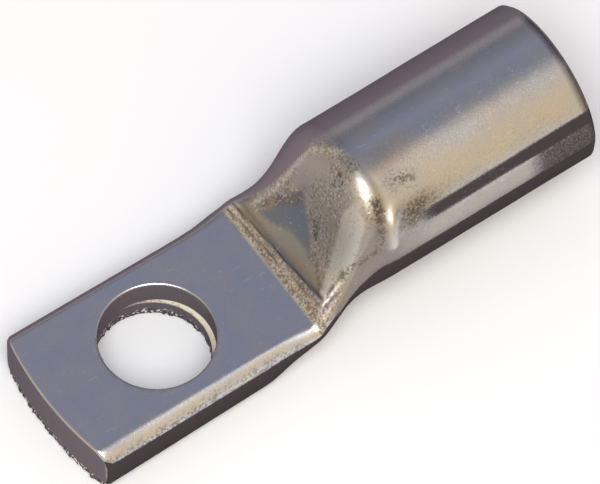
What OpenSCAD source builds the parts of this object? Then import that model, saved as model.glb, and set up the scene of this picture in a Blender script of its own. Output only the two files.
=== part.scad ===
// Tubular cable lug: one length of copper tube, tin plated. One end stays round and takes
// the stripped conductor. The other end is pressed flat into a two-layer palm and punched
// for a stud. The die leaves a line across the palm where the tube begins to rise again.
//
// Millimetres, +Z up. The origin is the centre of the stud hole on the palm's underside,
// which is the contact face. +X runs along the barrel towards its open mouth.

/* [Palm] */
// Width of the flattened palm, over the tube wall's folds along its two sides
palm_w = 16.4; // [14:0.1:18]
// Thickness of the palm, which is two layers of tube wall pressed together
palm_t = 5.2; // [4:0.1:6]
// Distance from the stud hole's centre to the middle of the rounded tip
hole_to_tip = 11.7; // [9:0.1:16]
// Distance from the stud hole's centre to the die line, where the tube starts to rise
hole_to_die_line = 11.8; // [9:0.1:16]
// How far each fold's upper curve reaches in over the palm
fold_in_top = 1.4; // [0.5:0.05:2.5]
// How far each fold's lower curve reaches in under the palm
fold_in_low = 1.2; // [0.5:0.05:2.5]
// Height above the underside at which the folds are widest
fold_z = 2.9; // [1.5:0.1:3.5]
// How much each side of the palm draws in from the tip to the die line
palm_draw_in = 0.35; // [0:0.05:0.5]
// How far the tip's middle stands out past its corners
tip_bow = 1.0; // [0.3:0.1:2]
// Rounding of the tip's two corners, seen from above
tip_corner_r = 1.2; // [0.6:0.1:2]
// Rolled edge round the sheared tip, top and bottom
tip_edge_r = 0.35; // [0.1:0.05:0.5]

/* [Stud hole] */
// Diameter of the stud or bolt that fastens the lug
stud_d = 10; // [6:0.5:10.5]
// Clearance between the stud and the hole, on each side
stud_clearance = 0.25; // [0.1:0.05:0.5]
// Rolled edge that the punch leaves round the hole, on the top and the underside
punch_edge_r = 0.25; // [0.05:0.05:0.4]
// Rolled edge of the lower layer where the two layers meet inside the hole
seam_edge_r = 0.5; // [0.1:0.05:0.8]

/* [Barrel] */
// Outer diameter of the round barrel
barrel_d = 15.5; // [14:0.1:18]
// Diameter of the stripped conductor that the barrel takes
conductor_d = 11; // [8:0.1:11.6]
// Clearance between the conductor and the bore, on each side
conductor_clearance = 0.25; // [0.1:0.05:0.5]
// Length of the straight round barrel, from the shoulder to the mouth
barrel_len = 21.1; // [12:0.1:40]
// Height of the barrel's lowest line above the palm's underside
barrel_lift = 1.0; // [0:0.1:2]
// Chamfer on the outer edge of the mouth
mouth_chamfer = 0.3; // [0.1:0.05:0.6]
// Chamfer that leads the conductor's strands into the bore
bore_lead_in = 0.4; // [0.1:0.05:0.8]

/* [Transition] */
// Length of the pressed slope, from the die line to the shoulder
slope_len = 9.1; // [7:0.1:14]
// How far the hollow foot of the slope reaches along the lug
foot_reach = 5.5; // [3:0.1:6.5]
// How far the bend over the shoulder reaches along the lug
shoulder_reach = 3.8; // [1.5:0.1:5]
// Height of the ramp that the die's edge leaves across the palm
die_step = 1.1; // [0:0.1:1.6]
// Length of that ramp
die_ramp = 1.5; // [0.5:0.1:2.5]
// Depth that the middle of the slope dips between its two folds
slope_dip = 0.4; // [0:0.05:0.6]
// How far each side bulges where the die squeezes the metal out
die_bulge = 0.15; // [0:0.05:0.6]
// Length of palm over which that bulge swells
bulge_lead = 3; // [1:0.1:4]
// How far below the palm's top the tube is widest at the die line
neck_drop = 0.7; // [0.3:0.1:2]
// How far each side draws in at the neck, halfway up the slope
neck_waist = 0.7; // [0:0.05:1]
// Length over which the rounded belly flattens into the palm's underside
belly_len = 7.6; // [6:0.1:12]
// Distance from the die line to the place where the belly is fully round
belly_past_die = 2.4; // [1:0.1:5]

/* [Hidden] */

barrel_r = barrel_d / 2;
axis_z = barrel_lift + barrel_r;
barrel_top = axis_z + barrel_r;
shoulder_x = hole_to_die_line + slope_len;
stud_hole_r = stud_d / 2 + stud_clearance;
bore_r = conductor_d / 2 + conductor_clearance;
wall = barrel_r - bore_r;
seam_z = palm_t / 2;
belly_end = hole_to_die_line + belly_past_die;
belly_start = belly_end - belly_len;

// Points round each corner of a ring, and across its flat top and its flat bottom
corner_steps = 14;
flat_steps = 8;
// Half the angle that the flat's points span once the ring is round, and half the side's
flat_angle = 9;
side_angle = 3;
// Rings along the palm before the die line, and up the slope
palm_rings = 12;
slope_rings = 28;
// Rings inside the slope, and points round each of them
bore_rings = 12;
bore_steps = 48;
// At the shoulder the rings stand this far outside the barrel and its bore, and they end this far
// inside both, so that their surfaces cross at a clear angle and never lie in one place.
stand_out = 0.03;
tuck_in = 0.15;
// Gap left between the two layers at the bottom of the seam's groove
seam_gap = 0.06;
// How far a cutting shape reaches past what it cuts
past = 1;
// How far a tip corner stands out past the tip's arc, so that the two curves cross
poke = 0.005;
round_fn = 96;

function mix(a, b, t) = a + (b - a) * t;
function ease(t) = let (c = min(1, max(0, t))) c * c * (3 - 2 * c);
// A curve that leaves 0 flat, arrives at length flat and is steep between the two reaches.
// Its rise is ease(t), so this gives the distance along.
function sweep(t, reach_in, reach_out, length) =
    3 * (1 - t) * (1 - t) * t * reach_in + 3 * (1 - t) * t * t * (length - reach_out) + t * t * t * length;

// One ring across the tube at x. rise is 0 on the palm and 1 at the top of the barrel.
// Four elliptical corners stand round a flat top and a flat bottom, which narrow to
// nothing at the barrel, so every ring has the same number of points.
function ring(x, rise, shrink = 0) =
    let (
        share = min(1, max(0, (x - hole_to_die_line) / slope_len)),
        belly = ease((x - belly_start) / belly_len),
        bulge = die_bulge * ease((x - hole_to_die_line + bulge_lead) / bulge_lead) * (1 - ease(2 * share)),
        palm_share = min(1, max(0, (x + hole_to_tip) / (hole_to_tip + hole_to_die_line))),
        palm_half = palm_w / 2 - palm_draw_in * palm_share,
        half = mix(palm_half, barrel_r, share) + bulge - neck_waist * pow(sin(180 * share), 2),
        top = mix(palm_t + die_step * ease((x - hole_to_die_line) / die_ramp), barrel_top, rise),
        low = mix(0, barrel_lift, belly),
        flat_top = (half - fold_in_top) * (1 - pow(share, 1.6)),
        flat_low = (half - fold_in_low) * (1 - belly),
        // Height at which the ring is widest, where its upper and lower corners meet
        turn = mix(fold_z, mix(palm_t - neck_drop, axis_z, ease(share)), belly),
        dip = slope_dip * sin(180 * share),
        points = concat(
            corner(flat_top, turn, half, top, side_angle, 90 - flat_angle),
            flat(flat_top, turn, half, top, dip, 1),
            corner(-flat_top, turn, -half, top, 90 - flat_angle, side_angle),
            corner(-flat_low, turn, -half, low, side_angle, 90 - flat_angle),
            flat(flat_low, turn, half, low, 0, -1),
            corner(flat_low, turn, half, low, 90 - flat_angle, side_angle)
        ),
        keep = 1 - shrink / barrel_r
    )
    [for (p = points) [x, p.x * keep, axis_z + (p.y - axis_z) * keep]];

// A quarter ellipse from the side at half to the flat at edge_z, between two angles
function corner(centre_y, centre_z, half, edge_z, from, to) = [
    for (i = [0:corner_steps])
        let (a = mix(from, to, i / corner_steps))
        [centre_y + (half - centre_y) * cos(a), centre_z + (edge_z - centre_z) * sin(a)]
];

// The points between two corners, from one side to the other, with a dip in the middle
function flat(centre_y, centre_z, half, edge_z, dip, from_side) =
    let (reach = centre_y + (half - centre_y) * sin(flat_angle))
    [for (i = [1:flat_steps - 1])
        let (
            y = from_side * mix(reach, -reach, i / flat_steps),
            out = max(0, abs(y) - centre_y) / (half - centre_y)
        )
        [y, centre_z + (edge_z - centre_z) * sqrt(1 - out * out) - dip * pow(cos(90 * y / reach), 2)]];

// Solid skin over a list of rings, closed by a flat cap at each end
module skin(rings) {
    n = len(rings[0]);
    m = len(rings);
    sides = [
        for (j = [0:m - 2], i = [0:n - 1])
            let (a = j * n + i, b = j * n + (i + 1) % n)
            for (f = [[a, a + n, b], [b, a + n, b + n]]) f
    ];
    first_cap = [for (i = [0:n - 1]) i];
    last_cap = [for (i = [n - 1:-1:0]) (m - 1) * n + i];
    polyhedron(points = [for (r = rings) each r], faces = concat([first_cap], sides, [last_cap]));
}

// Palm and slope, before the tip is sheared and the holes are made
module pressed_tube() {
    skin(concat(
        [ring(-hole_to_tip - past, 0)],
        [for (i = [0:palm_rings - 1]) ring(mix(belly_start, hole_to_die_line, i / palm_rings), 0)],
        [for (i = [0:slope_rings])
            let (t = pow(i / slope_rings, 1.3))
            ring(hole_to_die_line + sweep(t, foot_reach, shoulder_reach, slope_len), ease(t), -stand_out * t)],
        [ring(shoulder_x + past, 1, tuck_in)]
    ));
}

// A solid of revolution about the barrel's axis, starting at x
module along_barrel(x) {
    translate([x, 0, axis_z]) rotate([0, 90, 0]) rotate_extrude($fn = round_fn) children();
}

module round_barrel() {
    along_barrel(shoulder_x) polygon([
        [0, 0],
        [barrel_r, 0],
        [barrel_r, barrel_len - mouth_chamfer],
        [barrel_r - mouth_chamfer, barrel_len],
        [0, barrel_len]
    ]);
}

// Straight bore for the conductor, with a lead-in at the mouth
module conductor_bore() {
    along_barrel(shoulder_x) polygon([
        [0, 0],
        [bore_r, 0],
        [bore_r, barrel_len - bore_lead_in],
        [bore_r + bore_lead_in + past, barrel_len + past],
        [0, barrel_len + past]
    ]);
}

// Inside of the slope, where the bore flattens down to the seam between the two layers
module pinched_bore() {
    first_x = hole_to_die_line + wall / 2;
    length = shoulder_x - first_x;
    slit = wall / 8;
    slit_w = palm_w - wall * 2.4;
    skin(concat(
        [for (i = [0:bore_rings])
            let (t = i / bore_rings)
            oval(
                first_x + sweep(t, foot_reach, shoulder_reach - wall, length),
                mix(slit_w / 2, bore_r + stand_out, ease(t)),
                mix(slit, bore_r + stand_out, ease(t)),
                mix(seam_z, axis_z, ease(t))
            )],
        [oval(shoulder_x + past, bore_r - tuck_in, bore_r - tuck_in, axis_z)]
    ));
}

// An upright ellipse of points across the lug at x
function oval(x, half_w, half_h, z) = [
    for (i = [0:bore_steps - 1])
        let (a = 360 * i / bore_steps)
        [x, half_w * cos(a), z + half_h * sin(a)]
];

// The punched hole: straight through, with a rolled edge at each face and at the seam
module stud_hole() {
    rotate_extrude($fn = round_fn) {
        translate([0, -past]) square([stud_hole_r, palm_t + 2 * past]);
        rolled_edge(stud_hole_r, palm_t, punch_edge_r, past);
        mirror([0, 1]) rolled_edge(stud_hole_r, 0, punch_edge_r, past);
        rolled_edge(stud_hole_r, seam_z, seam_edge_r, seam_gap);
    }
}

// What a rolled edge of radius r leaves open beside a wall at x, up to gap above its face at z
module rolled_edge(x, z, r, gap) {
    difference() {
        translate([x - r, z - r]) square([2 * r, r + gap]);
        translate([x + r, z - r]) circle(r = r, $fn = round_fn);
    }
}

// What lies outside a disc with rolled top and bottom edges, out to a distance of reach
module outside_disc(r, reach) {
    rotate_extrude($fn = round_fn * 2) difference() {
        translate([r - tip_edge_r, -past]) square([reach, palm_t + 2 * past]);
        translate([r - 2 * tip_edge_r, tip_edge_r]) square([2 * tip_edge_r, palm_t - 2 * tip_edge_r]);
        for (z = [tip_edge_r, palm_t - tip_edge_r])
            translate([r - tip_edge_r, z]) circle(r = tip_edge_r, $fn = round_fn);
    }
}

// The sheared tip: a shallow arc that meets the long sides in two round corners
module sheared_tip() {
    half = palm_w / 2;
    arc_r = (half * half + tip_bow * tip_bow) / (2 * tip_bow);
    arc_x = arc_r - hole_to_tip;
    corner_y = half - tip_corner_r;
    corner_x = arc_x - sqrt(pow(arc_r - tip_corner_r + poke, 2) - corner_y * corner_y);
    // From the arc's centre, the ray through a corner's centre passes where the two curves meet.
    ray = [corner_x - arc_x, corner_y] / corner_y;
    intersection() {
        translate([arc_x, 0, 0]) outside_disc(arc_r, 3 * past);
        translate([-hole_to_tip - 2 * past, -palm_w, -past])
            cube([corner_x + hole_to_tip + 2 * past, 2 * palm_w, palm_t + 2 * past]);
    }
    for (side = [0, 1]) mirror([0, side]) intersection() {
        translate([corner_x, corner_y, 0]) outside_disc(tip_corner_r, 2 * past);
        translate([corner_x, corner_y, -past]) linear_extrude(palm_t + 2 * past)
            polygon([[0, 0], ray * 2 * past, [-3 * past, 3 * past], [0, 3 * past]]);
    }
}

module lug() {
    color([0.62, 0.6, 0.57])
        difference() {
            union() {
                pressed_tube();
                round_barrel();
            }
            conductor_bore();
            pinched_bore();
            stud_hole();
            sheared_tip();
        }
}

lug();
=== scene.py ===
# %% [markdown]
# # A tinned cable lug
#
# The lug starts as a length of copper tube. A press squeezes one end flat into a palm, a punch
# makes the hole for the stud, a shear trims the tip, and a bath gives the whole a thin coat of
# tin. This lesson makes it in the same order: a tube, the press, the bore, the punch, and last
# the tin with its grain and scratches, and the shade and reflections painted on it.
#
# Everything is in one frame with the imported solid: metres, +X along the barrel towards its
# mouth, +Z up. The origin is the centre of the stud hole on the palm's underside.

# %% The tools, and the imported solid
import math

import bmesh
import bpy
import numpy as np
from mathutils import Matrix, Vector, noise


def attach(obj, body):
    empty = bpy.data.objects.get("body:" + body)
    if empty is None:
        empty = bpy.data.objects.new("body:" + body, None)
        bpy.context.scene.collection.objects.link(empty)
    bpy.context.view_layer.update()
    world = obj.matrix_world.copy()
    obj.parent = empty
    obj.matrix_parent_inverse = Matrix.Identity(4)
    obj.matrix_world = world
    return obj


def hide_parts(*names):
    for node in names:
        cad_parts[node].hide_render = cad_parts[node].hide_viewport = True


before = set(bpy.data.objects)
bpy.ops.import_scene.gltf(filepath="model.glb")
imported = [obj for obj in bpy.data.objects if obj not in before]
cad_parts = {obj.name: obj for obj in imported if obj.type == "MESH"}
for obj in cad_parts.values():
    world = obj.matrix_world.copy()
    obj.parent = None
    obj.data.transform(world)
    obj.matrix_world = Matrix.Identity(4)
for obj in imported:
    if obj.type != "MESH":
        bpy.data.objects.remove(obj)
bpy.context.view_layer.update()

# %% [markdown]
# ## The camera
#
# The lug is seen from above its tip and to the left, with a very long lens, so that parallel
# edges stay parallel. The camera comes first, because every later choice is judged through it.

# %% The camera
MM = 0.001
LENS = 1000  # millimetres of focal length
SENSOR = 36  # millimetres across the picture
VIEW_WIDTH = 52.6 * MM  # what the picture takes in, side to side
TOWARDS_CAMERA = Vector((-0.293, -0.416, 0.861)).normalized()
LOOK_AT = Vector((13.49, -2.68, 12.05)) * MM

lens = bpy.data.cameras.new("camera")
lens.lens = LENS
lens.sensor_width = SENSOR
distance = VIEW_WIDTH * LENS / SENSOR
lens.clip_start = distance * 0.1
lens.clip_end = distance * 4
camera = bpy.data.objects.new("camera", lens)
camera.location = LOOK_AT + TOWARDS_CAMERA * distance
camera.rotation_euler = (-TOWARDS_CAMERA).to_track_quat("-Z", "Y").to_euler()
bpy.context.scene.collection.objects.link(camera)
bpy.context.scene.camera = camera
print("the camera stands", round(distance, 3), "m away")

# %% [markdown]
# ## The sizes
#
# A maker of lugs works from a drawing. These are its sizes, in millimetres, and they are the
# solid's own, so that the finished piece lies where the solid does.

# %% The sizes of the drawing
PALM_W, PALM_T = 16.4, 5.2  # width over the folds, and thickness of the two layers
TIP_X, DIE_X, SHOULDER_X, MOUTH_X = -11.7, 11.8, 20.9, 42.0
FOLD_IN_TOP, FOLD_IN_LOW, FOLD_Z = 1.4, 1.2, 2.9
DRAW_IN = 0.35
NEAR_FOLD_WIDER = 0.5  # the near fold is rounder towards the tip
BARREL_R, BORE_R, AXIS_Z, BARREL_LIFT = 7.75, 5.75, 8.75, 1.0
MOUTH_CHAMFER, BORE_LEAD_IN = 0.3, 0.4
SLOPE = SHOULDER_X - DIE_X
FOOT_REACH, SHOULDER_REACH = 5.5, 3.8
DIE_STEP, DIE_RAMP = 1.1, 1.5
SLOPE_DIP, DIE_BULGE, BULGE_LEAD = 0.4, 0.15, 3.0
NECK_DROP, NECK_WAIST = 0.7, 0.7
BELLY_START, BELLY_LEN = 6.6, 7.6
TIP_BOW, TIP_CORNER_R, TIP_EDGE_R = 1.0, 1.2, 0.35
HOLE_R, PUNCH_EDGE_R, SEAM_Z, SEAM_GAP = 5.25, 0.25, 2.6, 0.06

# %% [markdown]
# ## The press, as a rule
#
# The press turns a round section into a flat one little by little. Four elliptical corners
# stand round a flat top and a flat belly. On the barrel the flats have no width and the corners
# make a circle. On the palm the flats are wide and the corners are the tube's two folds. One
# rule gives the section anywhere, so the form has no joins where it could crease by mistake.

# %% Mixing, easing, and the slope's curve


def mix(a, b, t):
    return a + (b - a) * t


def ease(t):
    """0 below 0 and 1 above 1, with a soft start and a soft end between them."""
    c = np.clip(t, 0, 1)
    return c * c * (3 - 2 * c)


climb = np.linspace(0, 1, 400)
climb_x = 3 * (1 - climb) ** 2 * climb * FOOT_REACH
climb_x = climb_x + 3 * (1 - climb) * climb**2 * (SLOPE - SHOULDER_REACH) + climb**3 * SLOPE
print("half way up, the slope is", round(float(climb_x[200]), 2), "mm past the die line")

# %% A pressed section

def pressed(x, turn):
    """Where the press leaves a point of the tube's outside, which was at an angle of turn
    degrees round it, counted from the +Y side upwards. Returns its y and z."""
    share = np.clip((x - DIE_X) / SLOPE, 0, 1)
    rise = ease(np.interp(x - DIE_X, climb_x, climb))
    belly = ease((x - BELLY_START) / BELLY_LEN)
    bulge = DIE_BULGE * ease((x - DIE_X + BULGE_LEAD) / BULGE_LEAD) * (1 - ease(2 * share))
    palm_half = PALM_W / 2 - DRAW_IN * np.clip((x - TIP_X) / (DIE_X - TIP_X), 0, 1)
    waist = NECK_WAIST * np.sin(np.pi * share) ** 2
    half = mix(palm_half, BARREL_R, share) + bulge - waist
    top = mix(PALM_T + DIE_STEP * ease((x - DIE_X) / DIE_RAMP), AXIS_Z + BARREL_R, rise)
    low = mix(0, BARREL_LIFT, belly)
    widest = mix(FOLD_Z, mix(PALM_T - NECK_DROP, AXIS_Z, ease(share)), belly)

    over = turn >= 0
    fold_in = FOLD_IN_TOP + NEAR_FOLD_WIDER * (np.abs(turn) > 90) * np.clip((9 - x) / 16, 0, 1)
    flat = (half - FOLD_IN_LOW) * (1 - belly)
    flat = np.where(over, (half - fold_in) * (1 - share**1.6), flat)
    edge = np.where(over, top, low)
    steep = np.abs(turn)
    side = np.where(steep > 90, -1, 1)
    quarter = np.where(steep > 90, 180 - steep, steep) / 90

    # The corner's share of the quarter's length, and the flat's
    round_in, round_up = half - flat, np.abs(edge - widest)
    corner = 0.5 * np.pi * np.sqrt((round_in**2 + round_up**2) / 2)
    part = corner / (corner + flat)
    angle = 0.5 * np.pi * np.clip(quarter / part, 0, 1)
    along = np.where(part < 1, (1 - quarter) / np.maximum(1 - part, 1e-9), 0)
    y = np.where(quarter < part, flat + round_in * np.cos(angle), flat * along)
    z = np.where(quarter < part, widest + (edge - widest) * np.sin(angle), edge)
    reach = np.maximum(flat + round_in * math.sin(math.radians(9)), 1e-6)
    dip = SLOPE_DIP * np.sin(np.pi * share) * np.cos(0.5 * np.pi * np.clip(y / reach, 0, 1)) ** 2
    return y * side, z - np.where(over, dip, 0)


for name, x in (("palm", 0.0), ("slope", 16.0), ("barrel", 30.0)):
    w, h = pressed(x, np.array([0.0, 90.0, -90.0]))
    wide, high = round(2 * float(w[0]), 2), round(float(h[1] - h[2]), 2)
    print(name, "is", wide, "mm wide and", high, "mm high")

# %% The line of the sheared tip

tip_arc_r = ((PALM_W / 2) ** 2 + TIP_BOW**2) / (2 * TIP_BOW)
tip_arc_x = TIP_X + tip_arc_r
tip_corner_y = PALM_W / 2 - TIP_CORNER_R
tip_corner_x = tip_arc_x - math.sqrt((tip_arc_r - TIP_CORNER_R) ** 2 - tip_corner_y**2)
tip_join_y = tip_corner_y * tip_arc_r / (tip_arc_r - TIP_CORNER_R)


def tip_line(y):
    """The sheared tip's x: a shallow arc, with a round corner at each end."""
    out = np.clip(np.abs(y) - tip_corner_y, -TIP_CORNER_R, TIP_CORNER_R)
    bow = tip_arc_x - np.sqrt(tip_arc_r**2 - np.minimum(np.abs(y), tip_join_y) ** 2)
    bend = tip_corner_x - np.sqrt(np.maximum(TIP_CORNER_R**2 - out**2, 0))
    return np.where(np.abs(y) < tip_join_y, bow, bend)


print("the tip bows out", round(float(tip_line(tip_corner_y) - TIP_X), 2), "mm")

# %% [markdown]
# ## The tube
#
# The blank is a plain length of tube, and in Blender it starts as a cylinder with no ends. One
# subdivide of its lengthwise edges cuts it into rings. The rings are then spread along the tube:
# close together at the die line, the slope and the tip, where the form turns fast, and further
# apart on the straight barrel.

# %% Helpers for placing and picking


def spread(*spans):
    """Places along X. Each span is an end and the distance between the rings up to it."""
    places = [spans[0][0]]
    for end, step in spans[1:]:
        n = max(1, round((end - places[-1]) / step))
        start = places[-1]
        places += [start + (end - start) * (i + 1) / n for i in range(n)]
    return places


def only_selected(piece):
    for other in bpy.context.selected_objects:
        other.select_set(False)
    piece.select_set(True)
    bpy.context.view_layer.objects.active = piece


def pick(piece, mode, test):
    """In edit mode, selects the vertices, edges or faces that pass the test."""
    bpy.ops.mesh.select_mode(type=mode)
    bpy.ops.mesh.select_all(action="DESELECT")
    bm = bmesh.from_edit_mesh(piece.data)
    chosen = {"VERT": bm.verts, "EDGE": bm.edges, "FACE": bm.faces}[mode]
    count = 0
    for element in chosen:
        if test(element):
            element.select_set(True)
            count += 1
    bm.select_flush_mode()
    bmesh.update_edit_mesh(piece.data)
    return count


print("rings half a millimetre apart:", spread((0, 0), (2, 0.5)))

# %% A tube cut into rings
AROUND = 240
# Places on the tube. From the die line to the tip they are shares of the palm, since the tip
# is an arc and the rings bend into it.
palm_shares = [i / 76 for i in range(76)]
places = spread(
    (DIE_X, 0), (DIE_X + 1.8, 0.075), (SHOULDER_X + 0.8, 0.12), (MOUTH_X - MOUTH_CHAMFER, 0.36)
)
rings = len(palm_shares) + len(places)

bpy.ops.object.select_all(action="DESELECT")
bpy.ops.mesh.primitive_cylinder_add(
    vertices=AROUND, radius=BARREL_R, depth=rings - 1, end_fill_type="NOTHING",
    location=((rings - 1) / 2, 0, AXIS_Z), rotation=(0, math.pi / 2, 0),
)
lug = bpy.context.object
lug.name = lug.data.name = "tinned_lug"
bpy.ops.object.transform_apply(location=True, rotation=True, scale=True)
bpy.ops.object.mode_set(mode="EDIT")
pick(lug, "EDGE", lambda e: abs(e.verts[0].co.x - e.verts[1].co.x) > 0.5)
bpy.ops.mesh.subdivide(number_cuts=rings - 2)
bpy.ops.object.mode_set(mode="OBJECT")
print("the tube has", rings, "rings of", AROUND, "points")

# %% [markdown]
# ## The bore
#
# Tube has a wall. At the mouth the outer edge is broken by a small chamfer, and a wider one
# inside leads the strands of the conductor in. Extruding the mouth's edge loop again and again,
# and placing each new loop, gives the chamfers, the straight bore and its pinched inner end. The
# same is done at the tip, where the shear rolls the edge over and leaves a cut face.

# %% The mouth, the bore and the cut tip
bpy.ops.object.mode_set(mode="EDIT")
bm = bmesh.from_edit_mesh(lug.data)
layer = bm.verts.layers.int.new("ring")
turn_layer = bm.verts.layers.float.new("turn")
for v in bm.verts:
    v[layer] = round(v.co.x)
    v[turn_layer] = math.degrees(math.atan2(v.co.z - AXIS_Z, v.co.y))
bmesh.update_edit_mesh(lug.data)


def add_ring(from_ring, to_ring):
    """Extrudes ring from_ring into a new one, numbered to_ring. Its points keep their turn."""
    pick(lug, "EDGE", lambda e: all(v[layer] == from_ring for v in e.verts))
    bpy.ops.mesh.extrude_edges_move()
    bm = bmesh.from_edit_mesh(lug.data)
    for v in bm.verts:
        if v.select:
            v[layer] = to_ring
    bmesh.update_edit_mesh(lug.data)


MOUTH_RING, TIP_RING = rings - 1, 0
BORE_RINGS = 6
bore_start = MOUTH_X - BORE_LEAD_IN
bore_places = [MOUTH_X, MOUTH_X, bore_start]
bore_places += [bore_start - (bore_start - SHOULDER_X) * i / BORE_RINGS for i in range(1, BORE_RINGS + 1)]
PINCH_X, PINCH_RINGS = DIE_X + 1.0, 20
FIRST_BORE = 10000
previous = MOUTH_RING
for i in range(len(bore_places) + PINCH_RINGS):
    add_ring(previous, FIRST_BORE + i)
    previous = FIRST_BORE + i
last_bore = previous
pick(lug, "EDGE", lambda e: all(v[layer] == last_bore for v in e.verts))
bpy.ops.mesh.edge_face_add()

ROLL_RINGS, CUT_RINGS = 6, 10
FIRST_TIP = 20000
previous = TIP_RING
for i in range(ROLL_RINGS + CUT_RINGS):
    add_ring(previous, FIRST_TIP + i)
    previous = FIRST_TIP + i
last_tip = previous
bpy.ops.object.mode_set(mode="OBJECT")
print("the blank has", len(lug.data.vertices), "vertices")

# %% [markdown]
# ## Pressing
#
# Now every vertex goes where the press leaves it. The rule works on all of them at once.

# %% The rings and turns of the blank
n = len(lug.data.vertices)
ring = np.empty(n, np.int32)
turn = np.empty(n, np.float32)
lug.data.attributes["ring"].data.foreach_get("value", ring)
lug.data.attributes["turn"].data.foreach_get("value", turn)
turn = turn.astype(float)
x, y, z = np.zeros(n), np.zeros(n), np.zeros(n)

print("rings are numbered up to", int(ring.max()))

# %% Pressing the slope, the barrel and the palm
# The slope and the barrel
n_palm = len(palm_shares)
outside = (ring >= n_palm) & (ring < FIRST_BORE)
x[outside] = np.array(places)[ring[outside] - n_palm]
y[outside], z[outside] = pressed(x[outside], turn[outside])

# The palm, whose rings bend from the straight die line into the arc of the tip
palm = (ring < n_palm) | (ring >= FIRST_TIP)
share = np.where(ring < n_palm, 1 - ring / n_palm, 1.0)[palm]
x[palm] = DIE_X + (TIP_X - DIE_X) * share
for _ in range(3):
    y[palm], z[palm] = pressed(x[palm], turn[palm])
    x[palm] = mix(DIE_X, tip_line(y[palm]) + TIP_EDGE_R, share)

print("the palm runs from", round(float(x[palm].min()), 2), "to", round(float(x[palm].max()), 2), "mm")

# %% The tip's rolled edge, and its cut face, which closes along the middle
step = ring - FIRST_TIP
rolled = (step >= 0) & (step < ROLL_RINGS)
curl = np.radians(90 * (step + 1) / ROLL_RINGS)
half_t = PALM_T / 2
cut = step >= ROLL_RINGS
shut = np.where(cut, (step - ROLL_RINGS + 1) / CUT_RINGS, 0)
lowered = np.where(cut, TIP_EDGE_R, np.where(rolled, TIP_EDGE_R * (1 - np.cos(curl)), 0))
tip = rolled | cut
keep = (1 - lowered / half_t) * (1 - shut)
across = (1 - lowered / (PALM_W / 2)) * (1 - 0.03 * shut)
z[tip] = FOLD_Z + (z[tip] - FOLD_Z) * keep[tip]
y[tip] = y[tip] * across[tip]
x[tip] = tip_line(y[tip]) + np.where(cut, 0, TIP_EDGE_R * (1 - np.sin(curl)))[tip]

print("the tip lies at", round(float(x[tip].min()), 2), "mm")

# %% The straight bore, and its pinched end
inside = (ring >= FIRST_BORE) & (ring < FIRST_TIP)
number = ring - FIRST_BORE
radians = np.radians(turn)
bore_r = [BARREL_R - MOUTH_CHAMFER, BORE_R + BORE_LEAD_IN]
bore_r = np.array(bore_r + [BORE_R] * (len(bore_places) - 2))
straight = inside & (number < len(bore_places))
x[straight] = np.array(bore_places)[number[straight]]
y[straight] = bore_r[number[straight]] * np.cos(radians[straight])
z[straight] = AXIS_Z + bore_r[number[straight]] * np.sin(radians[straight])
pinch = inside & ~straight
t = 1 - (number[pinch] - len(bore_places) + 1) / PINCH_RINGS
length = SHOULDER_X - PINCH_X
wall = BARREL_R - BORE_R
sweep = 3 * (1 - t) ** 2 * t * FOOT_REACH + t**3 * length
sweep = sweep + 3 * (1 - t) * t**2 * (length - SHOULDER_REACH + wall)
x[pinch] = PINCH_X + sweep
y[pinch] = mix(PALM_W / 2 - 1.2 * wall, BORE_R, ease(t)) * np.cos(radians[pinch])
z[pinch] = mix(SEAM_Z, AXIS_Z, ease(t)) + mix(wall / 8, BORE_R, ease(t)) * np.sin(radians[pinch])

print("the bore ends at", round(float(x[inside].min()), 2), "mm")

# %% Closing the blank
# Where the cut face closes, its upper and lower points meet in pairs
by_place = {}
for i in np.flatnonzero(ring == last_tip):
    key = round(abs(turn[i]), 2)
    by_place.setdefault(key, []).append(i)
for pair in by_place.values():
    y[pair] = y[pair].mean()
    x[pair] = tip_line(y[pair])
    z[pair] = FOLD_Z

co = np.stack([x, y, z], axis=1)
lug.data.vertices.foreach_set("co", co.ravel())
lug.data.update()
bpy.ops.object.mode_set(mode="EDIT")
bpy.ops.mesh.select_all(action="SELECT")
bpy.ops.mesh.remove_doubles(threshold=0.0005)
bpy.ops.mesh.normals_make_consistent(inside=False)
bpy.ops.object.mode_set(mode="OBJECT")
print("pressed:", len(lug.data.vertices), "vertices,", len(lug.data.polygons), "faces")

# %% [markdown]
# ## What the press leaves behind
#
# A drawn tube is never a perfect cylinder, and a die leaves its own marks: fine grooves along its
# edge, a crease where each side folds into the palm, a pinched nub below the shoulder. Each mark
# is a height over the smooth skin, and the sum of them moves the skin along its own normals.

# %% The marks of the press


def normals_of(piece):
    """The vertex normals, as an array."""
    normal = np.empty(len(piece.data.vertices) * 3, np.float32)
    piece.data.vertex_normals.foreach_get("vector", normal)
    return normal.reshape(-1, 3).astype(float)


def points_of(piece):
    """The vertices, as an array."""
    co = np.empty(len(piece.data.vertices) * 3, np.float32)
    piece.data.vertices.foreach_get("co", co)
    return co.reshape(-1, 3).astype(float)


def lean_of(normal):
    """How far a normal leans sideways from straight up, in degrees: + towards +Y."""
    return np.degrees(np.arctan2(normal[:, 1], normal[:, 2]))


def hump(value, middle, width):
    return np.exp(-(((value - middle) / width) ** 2))


def wander(points, size, seed):
    """Soft noise from -1 to 1, whose hills are about size millimetres apart."""
    shift = Vector((seed * 7.3, seed * 3.1, seed * 5.7))
    return np.array([noise.noise(Vector(p) / size + shift) for p in points])


def along_line(a, b, p, q):
    """For points (p, q), how far along the line from a to b they lie, and how far beside it."""
    (ax, ay), (bx, by) = a, b
    length = math.hypot(bx - ax, by - ay)
    ux, uy = (bx - ax) / length, (by - ay) / length
    return (p - ax) * ux + (q - ay) * uy, (p - ax) * -uy + (q - ay) * ux, length


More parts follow.
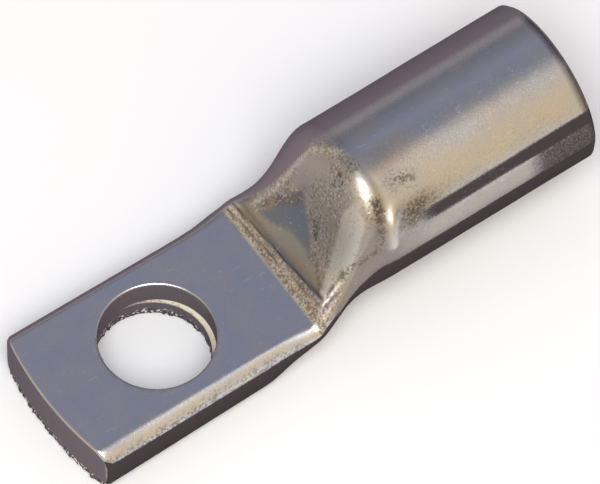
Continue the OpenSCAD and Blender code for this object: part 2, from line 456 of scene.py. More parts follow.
skin, normal = points_of(lug), normals_of(lug)
lean = lean_of(normal)
x, y, z = skin.T
from_axis = np.hypot(y, z - AXIS_Z)
is_outside = (from_axis > BORE_R + 0.9) | (x < DIE_X + 0.5)
is_outside &= (normal[:, 0] < 0.9) & (x > TIP_X + 1.5)
print(round(100 * float(is_outside.mean())), "% of the points are on the outside")

def reach_to(path, points):
    """How far each point lies from a path of straight stretches, in millimetres."""
    nearest = np.full(len(points), 1e9)
    for a, b in zip(np.array(path[:-1]), np.array(path[1:])):
        share = np.clip((points - a) @ (b - a) / ((b - a) @ (b - a)), 0, 1)
        nearest = np.minimum(nearest, np.linalg.norm(points - a - share[:, None] * (b - a), axis=1))
    return nearest


def least(soft, *values):
    """The least of the values, with its corners rounded over about soft."""
    return -soft * np.log(sum(np.exp(-v / soft) for v in values))


# %% Waviness, and the die's grooves
free = ease((x - DIE_X) / 3)
off_hole = ease((np.hypot(x, y) - HOLE_R - 0.7) / 1.5)
height = (0.006 * off_hole + 0.022 * free) * wander(skin, 5.0, 1)
height += 0.007 * free * wander(skin, 1.6, 2)


def die_edge_at(y):
    """The x of the die's edge, which runs a little askew across the palm."""
    return mix(12.9, 13.55, np.clip((7 - y) / 13.2, 0, 1))


# Three grooves, with a thin ridge between the first two
die_edge = die_edge_at(y)
on_top = ease((75 - np.abs(lean)) / 30)
across_top = on_top * ease((7.1 - np.abs(y)) / 1.0)
height -= 0.07 * hump(x, die_edge - 0.05, 0.09) * across_top
height += 0.03 * hump(x, die_edge - 0.27, 0.09) * across_top
height -= 0.06 * hump(x, die_edge - 0.5, 0.10) * across_top
height -= 0.025 * hump(x, die_edge - 0.95, 0.10) * across_top

print("the die's edge lies near x", round(float(die_edge.mean()), 2), "mm")

# %% The nub and the lips
# The nub, a short ridge across the near side of the shoulder, with a hollow on each side
NUB = ((21.5, -5.4, 14.4), (20.7, -6.7, 12.9), (20.3, -7.5, 11.4))
height += 0.40 * hump(reach_to(NUB, skin), 0, 0.52) * ease((-y - 5.0) / 1.6)
BEFORE_NUB = ((20.4, -4.8, 14.9), (19.8, -6.1, 13.5), (19.4, -6.9, 12.1))
height -= 0.16 * hump(reach_to(BEFORE_NUB, skin), 0, 0.6)
BEHIND_NUB = ((22.2, -6.4, 13.1), (21.8, -7.2, 11.6))
height -= 0.08 * hump(reach_to(BEHIND_NUB, skin), 0, 0.7)

# The lips where the near fold was pinched at the die's edge
LIP = ((11.8, -7.1, 5.15), (12.8, -6.65, 6.1), (13.7, -6.2, 6.7), (13.9, -5.4, 6.9))
BACK_LIP = ((13.9, -6.35, 6.8), (15.4, -6.1, 7.9))
height += 0.07 * hump(reach_to(LIP, skin), 0, 0.14)
height += 0.07 * hump(reach_to(BACK_LIP, skin), 0, 0.14)
print("with the nub, the marks rise to", round(float(height.max()), 3), "mm")

# %% The scoop, and the scrapes
# The scoop: a hollow between the die line and two creases that meet below the shoulder
top_side = ease((80 - np.abs(lean)) / 20)
NEAR_CORNER, FAR_CORNER, CREASE_MEET = (12.6, -7.3), (12.9, 7.0), (18.5, 3.3)
SCOOP_DEPTH = 0.75


def beyond(a, b):
    """How far a point lies to the left of the line from a to b, seen from above."""
    return along_line(a, b, x, y)[1]


foot = mix(13.5, 14.3, np.clip((5 - y) / 11, 0, 1))
from_near, from_far = beyond(NEAR_CORNER, CREASE_MEET), -beyond(FAR_CORNER, CREASE_MEET)
scoop = least(0.12, 0.55 * (x - foot), 0.5 * from_near, 0.5 * from_far, SCOOP_DEPTH)
scoop = -least(0.04, -scoop, 0)
height -= scoop * top_side
height += 0.10 * np.exp(-(((x - 20.0) / 2.4) ** 2) - ((y + 3.4) / 2.4) ** 2) * top_side

# Short scrapes down the wall of the scoop
SCRAPES = (
    ((16.9, 0.5, 10.8), (16.75, -0.9, 10.6)), ((16.6, 0.2, 10.2), (16.4, -1.2, 10.0)),
    ((16.2, -0.2, 9.5), (16.1, -1.5, 9.4)), ((15.9, -0.8, 9.0), (15.75, -2.0, 8.9)),
    ((18.9, 0.3, 15.0), (18.5, -0.9, 14.4)), ((19.2, -0.5, 15.5), (18.9, -1.5, 15.1)),
)
for scrape in SCRAPES:
    height -= 0.05 * hump(reach_to(scrape, skin), 0, 0.12)
height *= is_outside

skin += normal * height[:, None]
lug.data.vertices.foreach_set("co", skin.astype(np.float32).ravel())
lug.data.update()
print("the marks stand from", round(float(height.min()), 3), "to", round(float(height.max()), 3), "mm")

# %% [markdown]
# ## The punch
#
# The stud hole is punched through both layers. The punch rolls the upper edge in, tears the lower
# one, and moves the lower layer a little before it cuts, so that a ledge shows inside the hole.
# The cutter is a disc, extruded ring by ring up its own profile, and a Boolean takes it away.

# %% The punch's profile
PUNCH_POINTS = 200
SEAM_ROLL_R = 0.75  # the lower layer is rolled in more than the upper one
LAYER_SHIFT = Vector((-0.25, 0.33))  # how far the lower layer's hole lies off the upper one's


def roll(middle_z, middle_r, radius, start, end, steps, layer):
    """A rolled edge of the profile: (height, radius, layer) points on an arc, between two angles."""
    arc = []
    for i in range(steps + 1):
        a = math.radians(mix(start, end, i / steps))
        arc.append((middle_z + radius * math.sin(a), middle_r - radius * math.cos(a), layer))
    return arc


# The profile runs upwards. The last number is 1 in the lower layer and 0 in the upper one.
LOWER, UPPER = 1, 0
profile = [(-1.0, HOLE_R + PUNCH_EDGE_R, LOWER), (-0.01, HOLE_R + PUNCH_EDGE_R, LOWER)]
profile += roll(PUNCH_EDGE_R, HOLE_R + PUNCH_EDGE_R, PUNCH_EDGE_R, -75, 0, 4, LOWER)
profile += roll(SEAM_Z - SEAM_ROLL_R, HOLE_R + SEAM_ROLL_R, SEAM_ROLL_R, 0, 90, 8, LOWER)
profile += [(SEAM_Z + SEAM_GAP, HOLE_R + SEAM_ROLL_R, LOWER), (SEAM_Z + SEAM_GAP, HOLE_R, UPPER)]
profile += roll(PALM_T - PUNCH_EDGE_R, HOLE_R + PUNCH_EDGE_R, PUNCH_EDGE_R, 0, 75, 5, UPPER)
profile += [(PALM_T + up, HOLE_R + PUNCH_EDGE_R, UPPER) for up in (0.01, 1.0)]
print("the punch's profile has", len(profile), "points")

# %% Punching
bpy.ops.object.select_all(action="DESELECT")
bpy.ops.mesh.primitive_circle_add(
    vertices=PUNCH_POINTS, radius=profile[0][1], fill_type="NGON", location=(0, 0, profile[0][0])
)
punch = bpy.context.object
punch.name = "punch"
bpy.ops.object.transform_apply(location=True, rotation=True, scale=True)
bpy.ops.object.mode_set(mode="EDIT")


def place_selected(piece, height, radius, shift, last):
    """Moves the selected loop, which is round last, to this height and radius round shift."""
    bm = bmesh.from_edit_mesh(piece.data)
    for v in bm.verts:
        if v.select:
            angle = math.atan2(v.co.y - last.y, v.co.x - last.x)
            outward = Vector((math.cos(angle), math.sin(angle))) * radius
            v.co = (shift + outward).to_3d() + Vector((0, 0, height))
    bmesh.update_edit_mesh(piece.data)


bpy.ops.mesh.select_all(action="SELECT")
place_selected(punch, profile[0][0], profile[0][1], LAYER_SHIFT, Vector((0, 0)))
last = LAYER_SHIFT
for level, radius, layer_share in profile[1:]:
    bpy.ops.mesh.extrude_region_move()
    place_selected(punch, level, radius, LAYER_SHIFT * layer_share, last)
    last = LAYER_SHIFT * layer_share
bpy.ops.mesh.select_all(action="SELECT")
bpy.ops.mesh.normals_make_consistent(inside=False)
bpy.ops.object.mode_set(mode="OBJECT")

only_selected(lug)
cut_hole = lug.modifiers.new("punch", "BOOLEAN")
cut_hole.operation = "DIFFERENCE"
cut_hole.solver = "EXACT"
cut_hole.object = punch
bpy.ops.object.modifier_apply(modifier="punch")
bpy.data.objects.remove(punch)
print("punched:", len(lug.data.vertices), "vertices")

# %% [markdown]
# ## Torn edges
#
# Where a punch or a shear breaks through, the metal tears, and leaves a ragged rim on the far
# side. The rims are too uneven to draw, so soft noise with a fine grain pushes their points
# inwards on the hole and outwards on the tip, only in a narrow band next to each edge.

# %% Torn edges
skin = points_of(lug)
x, y, z = skin.T
off_x, off_y = x - LAYER_SHIFT.x, y - LAYER_SHIFT.y
from_hole = np.hypot(off_x, off_y)
rim = (from_hole < HOLE_R + 0.01) & (z < PUNCH_EDGE_R + 0.01)
tear = 0.11 * np.clip(wander(skin, 0.35, 5) * 2, 0, 1) * rim
skin[:, 0] -= tear * off_x / from_hole
skin[:, 1] -= tear * off_y / from_hole
skin[:, 2] -= np.minimum(tear, z) * rim

# The shear leaves a ragged burr along the tip's lower edge
low_edge = hump(z, 0.45, 0.4) * (x < tip_line(y) + 0.1) * ease((7.2 - np.abs(y)) / 0.5)
burr_out = 0.22 * np.clip(wander(skin, 0.4, 6) * 2.2, 0, 1) * low_edge
skin[:, 0] -= burr_out
skin[:, 2] -= 0.5 * burr_out * (z > 0.2)
lug.data.vertices.foreach_set("co", skin.astype(np.float32).ravel())
lug.data.update()
print("the burr stands out", round(float(burr_out.max()), 2), "mm")

# %% [markdown]
# ## Into metres, and smooth
#
# The lug was drawn in millimetres, as in a workshop. The frame is in metres, so the mesh itself
# is scaled, and the object stays unscaled. Faces that meet at less than 35 degrees are shaded as
# one skin, and sharper edges stay crisp. A closed mesh has no open edges, so they are counted.

# %% Into metres, and smooth
lug.data.transform(Matrix.Scale(MM, 4))
only_selected(lug)
bpy.ops.object.shade_smooth_by_angle(angle=math.radians(35))
bm = bmesh.new()
bm.from_mesh(lug.data)
open_edges = sum(1 for e in bm.edges if len(e.link_faces) != 2)
volume = bm.calc_volume() * 1e9
triangles = sum(len(f.verts) - 2 for f in bm.faces)
bm.free()
print("open edges", open_edges, "volume", round(volume, 1), "mm3, triangles", triangles)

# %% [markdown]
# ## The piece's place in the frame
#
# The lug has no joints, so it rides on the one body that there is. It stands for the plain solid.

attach(lug, "root")
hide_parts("lug")
print(lug.name, "rides on root and stands for lug")

# %% [markdown]
# ## Where shade and reflections are painted on the tin
#
# Shade is painted into the tin's colour as a purple brown on the lower sides and on the far side
# of the barrel, and on the cut faces, which are rough as well. Reflections and highlights are
# painted as tints on the slope, the ridges and the ledge in the hole. Rough speckled tin lies where
# the die worked the metal hardest. These zones follow the form, so they are worked out from each
# vertex's place and lean and kept on the mesh as numbers from 0 to 1 for the material to read.

# %% Places and leans
skin, normal = points_of(lug) / MM, normals_of(lug)
x, y, z = skin.T
round_axis = np.degrees(np.arctan2(y, z - AXIS_Z))
lean = mix(lean_of(normal), round_axis, ease((x - 17.5) / 3))
faces_tip = ease((-normal[:, 0] - 0.7) / 0.2) * (x < TIP_X + 1.5)
on_slope = ease((x - 13.4) / 0.5) * ease((22 - x) / 3)
mouthward = ease((x - 32) / 5)


def between(value, *steps):
    """A soft line through (place, height) steps."""
    place, height = zip(*steps)
    return np.interp(value, place, height)


def near(path, width):
    """1 on the path and falling to 0 beside it."""
    return hump(reach_to(path, skin), 0, width)


def inside(soft, *corners):
    """1 inside an outline seen from above, whose corners go round anticlockwise."""
    share = 1.0
    for a, b in zip(corners, corners[1:] + corners[:1]):
        share = share * ease(along_line(a, b, x, y)[1] / soft + 0.5)
    return share * ease((88 - np.abs(lean)) / 8) * (z > 5)


print("the skin leans from", round(float(lean.min())), "to", round(float(lean.max())), "degrees")

# %% Painted shade on the lower and far sides
# Painted shade: almost black along the lower sides, and a painted dark reflection band on the barrel
fold_end = mix(-4, 6, np.clip((6 - x) / 16, 0, 1))
low_palm = between(
    lean - fold_end,
    (-140, 0.5), (-115, 1), (-72, 1), (-64, 0), (60, 0), (68, 1), (115, 1), (140, 0.5),
)
low_barrel = between(
    lean,
    (-150, 0.6), (-120, 1), (-89, 1), (-85, 0.25), (-71, 0.22), (-68, 0),
    (85, 0), (100, 0.7), (120, 0.8), (150, 0.6),
)
low_barrel = np.maximum(low_barrel, 0.62 * mouthward * between(lean, (-90, 1), (-66, 1), (-62, 0)))
dark_reflection_band = between(lean, (-71, 0), (-67, 1), (-60, 1), (-55, 0)) * ease((x - 22) / 3)
low_barrel = np.maximum(low_barrel, mix(0.7, 0.8, mouthward) * dark_reflection_band)
painted_dark_shade = mix(low_palm, low_barrel, ease((x - 12.5) / 3)) * (1 - faces_tip)

# Painted shade: a purple grey, on the far side and low on the near side
painted_purple_shade = between(
    lean,
    (-180, 0.5), (-100, 0.6), (-85, 0.5), (-80, 0.36), (-70, 0.33), (-60, 0),
    (10, 0), (30, 0.85), (100, 0.9), (180, 0.5),
)
far_flank = ease((x - 13) / 2) * ease((20 - x) / 2) * between(lean, (10, 0), (22, 1), (90, 1), (100, 0))
far_flank *= ease(along_line((12.9, 7.0), (18.6, 3.2), x, y)[1] / 0.3 + 0.5)
painted_purple_shade = np.maximum(painted_purple_shade, 0.9 * far_flank)
# Painted shade over the near corner, where the key lamp would leave a highlight
corner = near(((13.1, -6.6, 6.2), (14.8, -6.0, 7.5)), 0.6)
painted_purple_shade = np.maximum(painted_purple_shade, 0.75 * corner)
painted_dark_shade = np.maximum(painted_dark_shade, 0.55 * corner)

print("grime reaches", round(float(painted_dark_shade.max()), 2), "and patina", round(float(painted_purple_shade.max()), 2))

# %% The slope's facets, and the reflections painted on them
# Outlines for painted reflections, blue grey, olive and brown, and a painted highlight
olive = inside(0.2, (12.9, 6.4), (13.4, -6.4), (14.25, -4.4), (15.05, -0.8), (14.8, 1.5))
blued = inside(0.25, (14.0, 4.6), (14.7, -2.6), (15.6, -1.3), (16.65, 1.1), (15.4, 3.3))
brown = inside(0.3, (16.6, 3.4), (17.3, 1.9), (18.8, 0.25), (19.2, 1.1), (18.7, 2.5), (17.9, 3.3))
bright = inside(0.5, (13.5, -6.2), (16.6, -6.3), (18.6, -5.4), (19.0, -3.8), (17.9, -3.0), (14.4, -4.9))
smooth = np.maximum(np.maximum(olive, blued), brown)

print("facets cover", round(100 * float((smooth > 0.5).mean()), 1), "% of the points")

# %% Speckled tin, where the die worked the metal hardest
band_start = mix(12.05, 11.8, np.clip((7 - y) / 14, 0, 1))
die_edge = die_edge_at(y)
die_band = ease((x - band_start) / 0.25) * ease((die_edge + 0.05 - x) / 0.12)
die_band *= (np.abs(lean) < 75) * (z > 4)
NEAR_FOLD_SPECKS = ((14.2, -6.4, 7.2), (15.9, -5.9, 8.8), (17.4, -6.5, 10.1), (19.4, -7.1, 11.7))
specked = 0.95 * near(NEAR_FOLD_SPECKS, 0.42)
specked = np.maximum(specked, 1.3 * near(BEFORE_NUB, 0.55))
specked = np.maximum(specked, 0.95 * near(((22.6, -3.9, 15.6), (23.9, -4.3, 15.2)), 0.9))
by_streak = hump(x, 23.4, 2.6) * between(lean, (-70, 0), (-63, 1), (-52, 1), (-43, 0))
specked = np.maximum(specked, 0.95 * by_streak)
specked = np.maximum(specked, 0.6 * near(((20.0, 1.3, 16.4), (20.4, -1.4, 16.4)), 0.7))
specked = np.maximum(specked, 0.55 * near(((23.0, -6.9, 12.2), (31.0, -6.9, 12.2)), 1.0))
fold_line = between(lean - fold_end, (-72, 1), (-62, 0.7), (-50, 0.3), (-36, 0)) * ease((12 - x) / 2)
specked = np.maximum(specked, fold_line)

# The burrs, and the rolled ledge inside the hole, with a painted highlight on its +X side
lower_x, lower_y = x - LAYER_SHIFT.x, y - LAYER_SHIFT.y
from_lower = np.hypot(lower_x, lower_y)
burr = hump(z, 0.4, 0.45) * (x < tip_line(y) + 0.15)
burr = np.maximum(burr, 0.8 * (from_lower < HOLE_R + 0.05) * hump(z, 0.1, 0.35))
azimuth = np.degrees(np.arctan2(lower_y, lower_x))
on_roll = (np.abs(from_lower - HOLE_R - 0.4) < 0.39) & (np.abs(z - SEAM_Z + 0.38) < 0.38)
ledge_highlight = on_roll * between(azimuth, (-50, 0), (-30, 1), (50, 1), (85, 0.4), (115, 0))
for scrape in SCRAPES:
    specked = np.maximum(specked, near(scrape, 0.14))
# The nub and the lips: kept free of specks and shade, and given a painted highlight
clean_lit_ridges = np.maximum(near(NUB, 0.5), np.maximum(near(LIP, 0.16), near(BACK_LIP, 0.16)))
specked = np.maximum(specked, 0.42 * die_band) * (1 - clean_lit_ridges)
painted_dark_shade *= 1 - clean_lit_ridges
painted_purple_shade *= 1 - clean_lit_ridges
print("speckles reach", round(float(specked.max()), 2))

# %% Worn and glittering tin
worn = np.maximum(0.9 * die_band, on_slope * ease((55 - np.abs(lean)) / 10))
worn_fold = between(lean, (-66, 0), (-58, 0.45), (-20, 0.45), (-12, 0))
worn = np.maximum(worn, worn_fold * ease((13 - x) / 2) * ease((x + 9) / 4))
worn = np.maximum(worn, 0.35 * between(lean, (-62, 0), (-56, 1), (-22, 1), (-14, 0)) * ease((x - 20) / 2))
die_lines = hump(x, die_edge - 0.02, 0.09) + 0.9 * hump(x, die_edge - 0.5, 0.09)
die_lines += 0.4 * hump(x, die_edge - 0.95, 0.07)
die_lines *= (np.abs(lean) < 70) * (np.abs(y) < 7.0) * (z > 4)
worn *= 1 - 0.92 * np.maximum(smooth, np.clip(die_lines, 0, 1))
worn *= 1 - 0.5 * bright
glitter = on_slope * ease((40 - lean) / 10) * (lean > -75)

print("worn tin reaches", round(float(worn.max()), 2))

# %% Tints
# Tints, as shares of the tin's own colour. Most are painted reflections, highlights and shade.
tint = np.ones((len(skin), 3))


def stain(colour, share):
    """Lays a tint over the tin, where share is 1."""
    tint[:] = mix(tint, np.array(colour), np.clip(share, 0, 1)[:, None])


# The die band: worked tin, painted lighter as its reflection
stain((1.2, 1.12, 1.06), die_band)
# Painted reflection: the slope darker and warmer than the palm
stain((0.62, 0.58, 0.53), on_slope * ease((60 - np.abs(lean)) / 10))
# Painted shade: a grey band above the blue grey facet
stain((0.34, 0.33, 0.34), inside(0.3, (14.0, 5.4), (15.0, 3.6), (16.6, 1.1), (17.1, 1.9), (15.6, 4.2)))
# Painted reflections: the blue grey and olive facets
stain((0.32, 0.37, 0.50), blued)
stain((0.55, 0.57, 0.55), olive)
# Painted reflections: warm browns just past the die's edge and on the slope's far side
past_die = hump(x, die_edge + 0.5, 0.45) * ease((6.6 - np.abs(y)) / 1) * (z > 5)
stain((0.62, 0.54, 0.45), past_die * (np.abs(lean) < 80))
stain((0.60, 0.46, 0.36), hump(x, 15.2, 0.45) * hump(y, 4.1, 0.5) * (z > 5))
# A painted reflection on the brown facet, and a painted highlight on the bright one
stain((0.62, 0.56, 0.54), brown)
stain((1.0, 0.98, 0.92), bright)
# A painted highlight along the far crease
FAR_CREASE = (
    (14.2, 5.4, 7.0), (15.6, 4.6, 8.6), (17.1, 3.9, 11.6),
    (18.7, 3.2, 14.8), (19.5, 1.9, 15.9), (20.6, -0.25, 16.45),
)
stain((0.95, 0.9, 0.82), near(FAR_CREASE, 0.22))
# Painted shade along the near crease
stain((0.25, 0.22, 0.2), 0.8 * near(((13.6, -5.6, 6.6), (14.3, -4.4, 7.1), (15.4, -2.0, 8.1)), 0.12))
# Painted shade in the hollows beside the nub
beside_nub = near(((21.6, -6.6, 12.8), (22.4, -6.9, 12.3)), 0.8)
stain((0.5, 0.45, 0.4), np.maximum(near(BEFORE_NUB, 0.7), beside_nub))
# Painted reflections: the near flank darker, low on the barrel and on the slope
low_flank = between(lean, (-95, 1), (-70, 1), (-62, 0)) * ease((x - 13) / 1.5)
stain((0.66, 0.62, 0.58), low_flank * ease((28 - x) / 4))
slope_flank = between(lean, (-95, 1), (-60, 1), (-50, 0)) * ease((x - 13) / 1.5)
stain((0.52, 0.48, 0.44), slope_flank * ease((21.5 - x) / 2) * (1 - bright))
# Painted shade in the die's grooves
stain((0.16, 0.13, 0.11), die_lines)
# Painted reflection: the palm's near fold lighter and bluer
near_fold = between(lean, (-70, 0), (-55, 1), (-18, 1), (-8, 0))
stain((1.08, 1.12, 1.2), near_fold * ease((12 - x) / 1))
# Painted shade beside the dark band
stain((0.54, 0.50, 0.45), 0.95 * by_streak)
# Painted reflection: the light band low on the barrel, toned darker
low_barrel_shine = between(lean, (-89, 0), (-84, 1), (-72, 1), (-68, 0))
stain((0.86, 0.83, 0.78), low_barrel_shine * ease((x - 21) / 4))
stain((0.2, 0.18, 0.2), ease((x - 41.3) / 0.4))
# Painted reflection: a warm beige past the shoulder
past_shoulder = between(lean, (-26, 0), (-20, 1), (-7, 1), (0, 0))
stain((1.08, 0.95, 0.80), past_shoulder * ease((x - 19.5) / 2) * ease((28 - x) / 5))
# A painted highlight on the shoulder
stain((1.2, 1.15, 1.08), near(((20.1, -3.2, 16.0), (20.3, -3.0, 16.1)), 1.3))
# A painted highlight on the nub and the lips
stain((1.2, 1.15, 1.05), clean_lit_ridges)
print("tints run from", round(float(tint.min()), 2), "to", round(float(tint.max()), 2))

# %% The zones, kept on the mesh

def keep_zone(piece, name, value):
    """Keeps a number from 0 to 1 on each vertex, for the material to read."""
    zone = piece.data.attributes.new(name, "FLOAT", "POINT")
    zone.data.foreach_set("value", np.clip(value, 0, 1).astype(np.float32))
    print(name, "covers", round(100 * float((value > 0.5).mean())), "% of the points")


ZONES = {
    "painted_dark_shade": painted_dark_shade, "painted_purple_shade": painted_purple_shade, "specked": specked, "worn": worn,
    "glitter": glitter, "burr": burr, "ledge_highlight": ledge_highlight,
}
for name, zone in ZONES.items():
    keep_zone(lug, name, zone)
tints = lug.data.attributes.new("tint", "FLOAT_COLOR", "POINT")
opaque = np.ones((len(tint), 1))
tints.data.foreach_set("color", np.hstack([tint, opaque]).astype(np.float32).ravel())

# %% [markdown]
# ## Shader maths
#
# A material is a net of small nodes. Written one node at a time it is long and hard to follow, so
# a small class stands for a node's output, and arithmetic on it adds the Math nodes by itself.

# %% Shader maths


class Wire:
    """One output of a material's node tree. Arithmetic on it adds Math nodes."""

    def __init__(self, tree, socket=None):
        self.tree, self.socket = tree, socket

    def node(self, kind, inputs=None, output=0, stops=None, **settings):
        """Adds any node: its settings first, then the values or wires of its sockets."""
        made = self.tree.nodes.new(kind)
        for name, value in settings.items():
            setattr(made, name, value)
        if stops:
            ramp = made.color_ramp.elements
            while len(ramp) < len(stops):
                ramp.new(0.5)
            for element, (position, colour) in zip(ramp, stops):
                element.position = position
                element.color = (*colour, 1)
        for name, value in (inputs or {}).items():
            if isinstance(value, Wire):
                self.tree.links.new(value.socket, made.inputs[name])
            else:
                made.inputs[name].default_value = value
        return Wire(self.tree, made.outputs[output]) if len(made.outputs) else None

    def math(self, operation, *values, clamp=False):
        return self.node("ShaderNodeMath", dict(enumerate(values)), operation=operation, use_clamp=clamp)

    def __add__(self, other):
        return self.math("ADD", self, other)

    def __radd__(self, other):
        return self.math("ADD", other, self)

    def __sub__(self, other):
        return self.math("SUBTRACT", self, other)

    def __rsub__(self, other):
        return self.math("SUBTRACT", other, self)

    def __mul__(self, other):
        return self.math("MULTIPLY", self, other)

    def __rmul__(self, other):
        return self.math("MULTIPLY", other, self)

    def __truediv__(self, other):
        return self.math("DIVIDE", self, other)

    def rise(self, low, high):
        """0 below low, 1 above high, soft between them. With low above high it falls."""
        if low > high:
            return 1 - self.rise(high, low)
        return self.node(
            "ShaderNodeMapRange", {"Value": self, "From Min": low, "From Max": high},
            interpolation_type="SMOOTHSTEP",
        )


def blend(a, b, share, way="MIX"):
    """Colour a where share is 0, and colour b where it is 1. The way may be another, such as MULTIPLY."""
    wire = next(w for w in (share, a, b) if isinstance(w, Wire))
    values = {0: share, 6: a if isinstance(a, Wire) else (*a, 1), 7: b if isinstance(b, Wire) else (*b, 1)}
    return wire.node("ShaderNodeMix", values, output=2, data_type="RGBA", blend_type=way)


# %% [markdown]
# ## The tin
#
# Tin plating is a thin, soft metal skin. Where it is clean it mirrors the room, and where shade or
# a highlight is painted on it, or it is cut, it is nearly a matt paint. So one number, how dull
# the tin is, lowers Metallic and raises Roughness. The zones say where, and fine noise in real
# millimetres breaks up their borders into grain, pits and flecks.

# %% The tin's colours, zones and noise
TIN = (0.56, 0.545, 0.525)
PAINTED_PURPLE_SHADE = (0.17, 0.14, 0.17)
PAINTED_DARK_SHADE = (0.05, 0.042, 0.048)
CUT_AND_SHADE = (0.128, 0.112, 0.135)

tin = bpy.data.materials.new("tin_plating")
tin.use_nodes = True
tree = tin.node_tree
tree.nodes.clear()
start = Wire(tree)
place = start.node("ShaderNodeTexCoord", output="Object")
place = start.node("ShaderNodeVectorMath", {0: place, "Scale": 1000.0}, operation="SCALE")
px, py, pz = (start.node("ShaderNodeSeparateXYZ", {0: place}, output=i) for i in range(3))
# From here on, each zone's name means the material's wire for it
painted_dark_shade, painted_purple_shade, specked, worn, glitter, burr, ledge_highlight = (
    start.node("ShaderNodeAttribute", output="Fac", attribute_name=name) for name in ZONES
)
tint = start.node("ShaderNodeAttribute", output="Color", attribute_name="tint")



def noise_of(scale, detail, roughness, **more):
    """Soft noise over the surface: its scale is per millimetre."""
    inputs = {"Vector": place, "Scale": scale, "Detail": detail, "Roughness": roughness}
    return start.node("ShaderNodeTexNoise", inputs, **more)


cloud = noise_of(0.35, 3.0, 0.5)
grain = noise_of(6.0, 4.0, 0.65)
speck = noise_of(4.0, 3.0, 0.6)
patch = noise_of(1.0, 2.0, 0.5)
fleck = start.node(
    "ShaderNodeTexNoise",
    {"Vector": place, "Scale": 3.6, "Detail": 3.0, "Roughness": 0.6, "W": 3.0},
    noise_dimensions="4D",
)

# Long thin scratches: noise stretched along one direction
SCRATCH_WAY = (0.0, 0.3, math.radians(38))
turned = start.node(
    "ShaderNodeMapping", {"Vector": place, "Rotation": SCRATCH_WAY, "Scale": (0.7, 6.0, 6.0)}
)
scratch = start.node(
    "ShaderNodeTexNoise", {"Vector": turned, "Scale": 1.0, "Detail": 2.0, "Roughness": 0.5}
)
scratch = scratch.rise(0.665, 0.70) * patch.rise(0.45, 0.6)
print("the tin has", len(tree.nodes), "nodes so far")

# %% The cut faces
# Cut faces: the tip and the hole's wall, rough, and darkened further by painted shade
reach = (px - tip_arc_x) * (px - tip_arc_x) + py * py
reach = reach.math("SQRT", reach)
cut_face = reach.rise(tip_arc_r - 0.07, tip_arc_r - 0.03) * px.rise(-5.0, -6.0)
lower = pz.rise(SEAM_Z + 0.08, SEAM_Z + 0.04)
hole_reach = (px - lower * LAYER_SHIFT.x).math("POWER", px - lower * LAYER_SHIFT.x, 2.0)
hole_reach = hole_reach + (py - lower * LAYER_SHIFT.y).math("POWER", py - lower * LAYER_SHIFT.y, 2.0)
hole_reach = hole_reach.math("SQRT", hole_reach)
hole_wall = hole_reach.rise(HOLE_R + 0.10, HOLE_R + 0.05)
cut = cut_face.math("MAXIMUM", cut_face, hole_wall)

print("with the cut faces,", len(tree.nodes), "nodes")

# %% The tin's colour
ragged = (grain - 0.5) * 0.9
purple_shade_share = (painted_purple_shade + ragged * 0.35).rise(0.15, 0.85) * painted_purple_shade.rise(0.0, 0.1)
dark_shade_share = (painted_dark_shade + ragged * 0.5).rise(0.3, 0.7) * (1 - cut) * (1 - ledge_highlight)
pits = (speck + specked * 0.16 + worn * 0.05 + (patch - 0.5) * 0.35).rise(0.52, 0.74)
flecks = (fleck + worn * 0.08 + (patch - 0.5) * 0.2).rise(0.60, 0.76)

colour = blend(TIN, (0.515, 0.53, 0.55), cloud.rise(0.35, 0.65))
colour = blend(colour, tint, 1.0, "MULTIPLY")
colour = blend(colour, (0.72, 0.68, 0.62), flecks * (0.1 + worn * 0.5))
colour = blend(colour, (0.85, 0.82, 0.78), scratch * 0.5)
colour = blend(colour, (0.11, 0.09, 0.075), pits * (0.15 + worn * 0.35 + specked * 0.5).rise(0.0, 1.0))
# Painted shade, purple grey, on the far side and low on the near side
colour = blend(colour, PAINTED_PURPLE_SHADE, purple_shade_share)
# The cut faces: rough sheared metal, with painted shade over it
colour = blend(colour, CUT_AND_SHADE, cut * 0.95)
# Painted shade, almost black, on the lower sides and the dark band
colour = blend(colour, PAINTED_DARK_SHADE, dark_shade_share)
# A painted highlight on the ledge in the hole
colour = blend(colour, (0.80, 0.74, 0.61), ledge_highlight * (1 - pits * 0.5))
torn = (burr + ragged * 1.4).rise(0.35, 0.6)
colour = blend(colour, (0.055, 0.05, 0.055), torn * 0.7)
glints = burr.rise(0.25, 0.5) * fleck.rise(0.55, 0.61)
colour = blend(colour, (0.75, 0.72, 0.68), glints)
print("with the colour,", len(tree.nodes), "nodes")

# %% How dull the tin is, and its surface
dull = purple_shade_share.math("MAXIMUM", purple_shade_share, dark_shade_share)
dull = dull.math("MAXIMUM", dull, cut * 0.9)
dull = dull.math("MAXIMUM", dull, ledge_highlight)
metallic = 1 - dull
roughness = 0.2 + dull * 0.2 + grain * 0.08 + cut * 0.2
roughness = roughness + worn * 0.10 + pits * 0.1 + glitter * 0.14

bump = start.node(
    "ShaderNodeBump", {"Height": grain + speck * worn * 3.0, "Strength": 0.25, "Distance": 0.00003}
)
surface = start.node("ShaderNodeBsdfPrincipled", {
    "Base Color": colour, "Roughness": roughness, "Metallic": metallic, "Normal": bump,
    "Specular IOR Level": 0.0, "Specular Tint": (0.62, 0.58, 0.62, 1),
})
start.node("ShaderNodeOutputMaterial", {"Surface": surface})
lug.data.materials.clear()
lug.data.materials.append(tin)
print(tin.name, "has", len(tree.nodes), "nodes")

# %% [markdown]
# ## The floor
#
# The lug lies on a sheet of plain pale board. It is a hair below the underside, so that the two
# faces never fight for the same place.

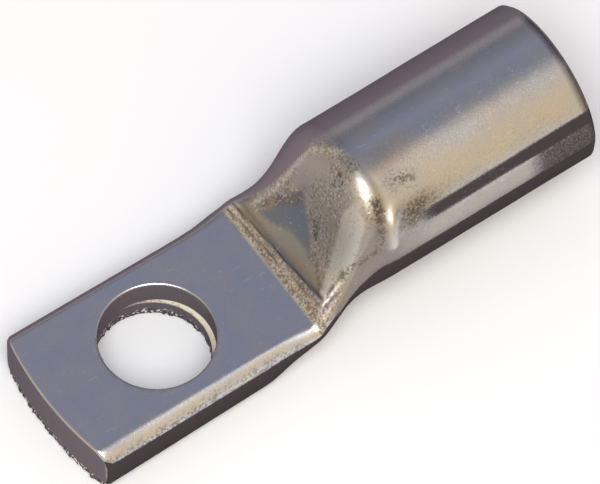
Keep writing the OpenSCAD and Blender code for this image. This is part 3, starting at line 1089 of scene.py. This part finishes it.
# %% The floor
bpy.ops.object.select_all(action="DESELECT")
bpy.ops.mesh.primitive_plane_add(size=3, location=(0, 0, -0.05 * MM))  # clear of the underside
floor = bpy.context.object
floor.name = "floor"
paint = bpy.data.materials.new("floor_paint")
paint.use_nodes = True
shader = paint.node_tree.nodes["Principled BSDF"]
shader.inputs["Base Color"].default_value = (0.89, 0.91, 0.94, 1)
shader.inputs["Roughness"].default_value = 0.9
shader.inputs["Specular IOR Level"].default_value = 0.0
floor.data.materials.append(paint)
print("the floor's colour is", tuple(round(c, 2) for c in shader.inputs["Base Color"].default_value)[:3])

# %% [markdown]
# ## The light
#
# Metal shows the room more than itself, so the room is the light. A broad warm window faces the
# near side and makes the long bright band on the barrel, a smaller one brightens its lower part,
# and a square key lamp near the camera makes the highlight on the shoulder. The sky is a soft
# grey blue, with a warm wall on the side that the slope faces.

# %% The light
middle = Vector((15, 0, 8)) * MM


def lamp(name, direction, distance, size, power, colour):
    """A soft rectangular lamp, which faces the middle of the lug."""
    light = bpy.data.lights.new(name, "AREA")
    light.shape = "RECTANGLE"
    light.size, light.size_y = size
    light.energy = power
    light.color = colour
    holder = bpy.data.objects.new(name, light)
    way = Vector(direction).normalized()
    holder.location = middle + way * distance
    holder.rotation_euler = way.to_track_quat("Z", "Y").to_euler()
    bpy.context.scene.collection.objects.link(holder)
    print(name, "gives", round(power, 2), "W")


def power_for(radiance, size):
    """The power of an area light whose face has this radiance."""
    return radiance * math.pi * size[0] * size[1]


def in_barrel(degrees):
    """A direction across the barrel, degrees from straight up towards +Y."""
    a = math.radians(degrees)
    return Vector((0, math.sin(a), math.cos(a)))


WINDOW, CORE, KEY = (2.2, 1.62), (2.2, 0.8), (0.6, 0.6)
lamp("window", in_barrel(-47), 1.0, WINDOW, power_for(1.0, WINDOW), (0.32, 0.20, 0.03))
lamp("window_core", in_barrel(-62), 0.9, CORE, power_for(1.0, CORE), (0.12, 0.12, 0.14))
lamp("key", (-0.29, -0.42, 0.86), 1.0, KEY, power_for(7.2, KEY), (0.97, 1.0, 1.03))

# %% The room
world = bpy.data.worlds.new("room")
world.use_nodes = True
bpy.context.scene.world = world
w = Wire(world.node_tree)
world.node_tree.nodes.clear()
way = w.node("ShaderNodeTexCoord", output="Generated")
wx, wy, wz = (w.node("ShaderNodeSeparateXYZ", {0: way}, output=i) for i in range(3))
SKY = [
    (0.0, (0.20, 0.17, 0.21)), (0.48, (0.25, 0.235, 0.285)), (0.77, (0.31, 0.315, 0.385)),
    (0.86, (0.40, 0.41, 0.575)), (0.94, (0.28, 0.30, 0.37)),
]
sky = w.node("ShaderNodeValToRGB", {"Fac": wz}, stops=SKY)
room = blend(sky, (0.55, 0.46, 0.35), (-1.0 * wx - wy * 1.2).rise(0.05, 0.75))
room = blend(room, (0.80, 0.68, 0.52), (-1.0 * wx).rise(0.3, 0.85))
back = w.node("ShaderNodeBackground", {"Color": room, "Strength": 1.0})
w.node("ShaderNodeOutputWorld", {"Surface": back})

bpy.context.scene.view_settings.view_transform = "Standard"
print("the room has", len(world.node_tree.nodes), "nodes")
